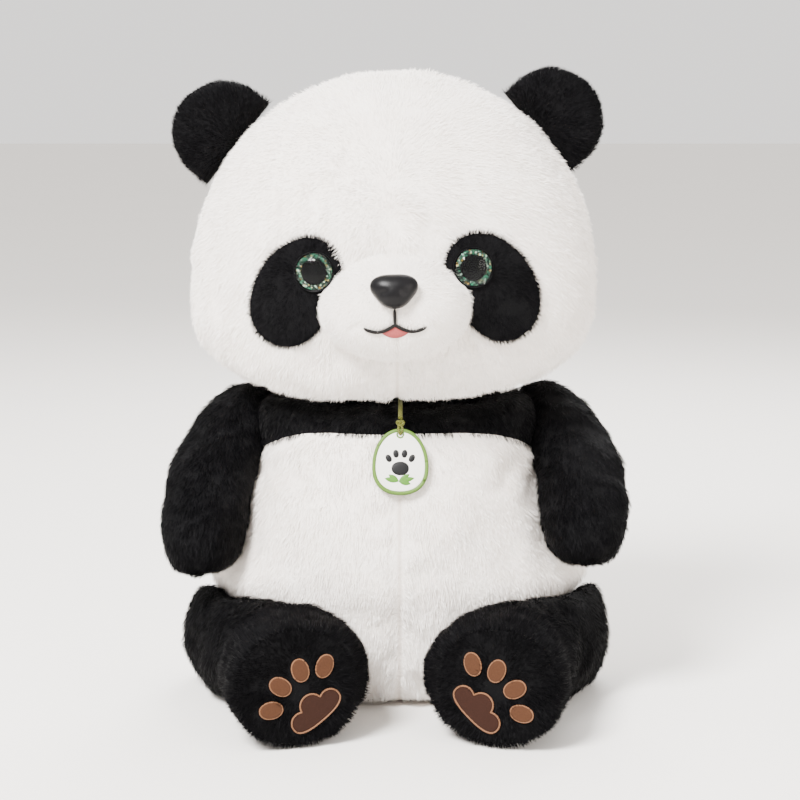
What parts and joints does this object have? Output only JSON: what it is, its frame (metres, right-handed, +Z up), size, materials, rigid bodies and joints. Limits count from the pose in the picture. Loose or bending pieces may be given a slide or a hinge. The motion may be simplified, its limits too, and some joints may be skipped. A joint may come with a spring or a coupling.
{
  "type": "plush panda",
  "caption": "Seated plush panda with a round head, soft ears, arms and legs, plastic eyes and nose, embroidered paw pads and a hanging tag.",
  "frame": {"origin": "centre of the bounding box in plan, on the plane that the toy sits on", "axes": "+Z up, the toy faces -Y, and its own left side is +X"},
  "size_m": [0.3154, 0.3122, 0.4259],
  "materials": {
    "pale_fur": "matte",
    "dark_fur": "matte",
    "seat_cloth": "matte",
    "filling": "matte",
    "nose_plastic": "gloss",
    "washer_plastic": "matte",
    "thread": "satin",
    "tongue_felt": "matte",
    "clear_dome": "gloss",
    "pupil": "gloss",
    "glitter": "gloss",
    "paw_pad": "matte",
    "pad_stitch": "satin",
    "toe_pad": "satin",
    "cord": "satin",
    "tag_back": "satin",
    "tag_face": "satin"
  },
  "bodies": {
    "torso": {"torso_yoke": "dark_fur", "belly_left": "pale_fur", "belly_right": "pale_fur", "torso_back": "pale_fur", "seat_panel": "seat_cloth", "torso_filling": "filling", "tail_cover": "pale_fur", "tail_filling": "filling"},
    "neck": {"neck_filling": "filling"},
    "head": {"head_face_left": "pale_fur", "head_face_right": "pale_fur", "head_back": "pale_fur", "eye_patch_left": "dark_fur", "eye_patch_right": "dark_fur", "head_filling": "filling", "muzzle_cover": "pale_fur", "muzzle_filling": "filling", "nose_button": "nose_plastic", "nose_washer": "washer_plastic", "mouth_thread": "thread", "tongue": "tongue_felt", "eye_lens_left": "clear_dome", "eye_lens_right": "clear_dome", "eye_pupil_left": "pupil", "eye_pupil_right": "pupil", "eye_glitter_left": "glitter", "eye_glitter_right": "glitter", "eye_washer_left": "washer_plastic", "eye_washer_right": "washer_plastic"},
    "ear_left": {"ear_cover_left": "dark_fur", "ear_filling_left": "filling"},
    "ear_right": {"ear_cover_right": "dark_fur", "ear_filling_right": "filling"},
    "arm_left": {"arm_cover_left": "dark_fur", "arm_filling_left": "filling"},
    "arm_right": {"arm_cover_right": "dark_fur", "arm_filling_right": "filling"},
    "leg_left": {"leg_cover_left": "dark_fur", "leg_filling_left": "filling", "foot_sole_left": "dark_fur", "paw_pad_left": "paw_pad", "pad_border_left": "pad_stitch", "toe_pad_left_1": "toe_pad", "toe_pad_left_2": "toe_pad", "toe_pad_left_3": "toe_pad", "toe_pad_left_4": "toe_pad"},
    "leg_right": {"leg_cover_right": "dark_fur", "leg_filling_right": "filling", "foot_sole_right": "dark_fur", "paw_pad_right": "paw_pad", "pad_border_right": "pad_stitch", "toe_pad_right_1": "toe_pad", "toe_pad_right_2": "toe_pad", "toe_pad_right_3": "toe_pad", "toe_pad_right_4": "toe_pad"},
    "tag": {"tag_cord": "cord", "tag_knot": "cord", "tag_back": "tag_back", "tag_face": "tag_face"}
  },
  "joints": [
    {"name": "neck_nod", "type": "hinge", "parent": "torso", "child": "neck", "pos_m": [0, 0.03505, 0.215], "axis": [-1, 0, 0], "range_deg": [0, 8], "stiffness_Nm_per_rad": 3},
    {"name": "neck_turn", "type": "hinge", "parent": "neck", "child": "head", "pos_m": [0, 0.03505, 0.215], "axis": [0, 0, 1], "range_deg": [-25, 25], "stiffness_Nm_per_rad": 2},
    {"name": "shoulder_left", "type": "hinge", "parent": "torso", "child": "arm_left", "pos_m": [0.095, 0.03505, 0.188], "axis": [-1, 0, 0], "range_deg": [-7, 38], "stiffness_Nm_per_rad": 0.4},
    {"name": "shoulder_right", "type": "hinge", "parent": "torso", "child": "arm_right", "pos_m": [-0.095, 0.03505, 0.188], "axis": [-1, 0, 0], "range_deg": [0, 45], "stiffness_Nm_per_rad": 0.4},
    {"name": "hip_left", "type": "hinge", "parent": "torso", "child": "leg_left", "pos_m": [0.122, 0.04405, 0.0375], "axis": [0, 0, 1], "range_deg": [0, 25], "stiffness_Nm_per_rad": 1},
    {"name": "hip_right", "type": "hinge", "parent": "torso", "child": "leg_right", "pos_m": [-0.122, 0.04405, 0.0375], "axis": [0, 0, -1], "range_deg": [0, 25], "stiffness_Nm_per_rad": 1},
    {"name": "ear_fold_left", "type": "hinge", "parent": "head", "child": "ear_left", "pos_m": [0.1098, 0.03605, 0.38628], "axis": [0.6574, 0, -0.7536], "range_deg": [-15, 15], "stiffness_Nm_per_rad": 0.1},
    {"name": "ear_fold_right", "type": "hinge", "parent": "head", "child": "ear_right", "pos_m": [-0.11861, 0.03605, 0.3803], "axis": [0.617, 0, 0.7869], "range_deg": [-15, 15], "stiffness_Nm_per_rad": 0.1},
    {"name": "tag_swing", "type": "hinge", "parent": "torso", "child": "tag", "pos_m": [0.002, -0.01595, 0.2045], "axis": [0, 1, 0], "range_deg": [-20, 20]}
  ]
}
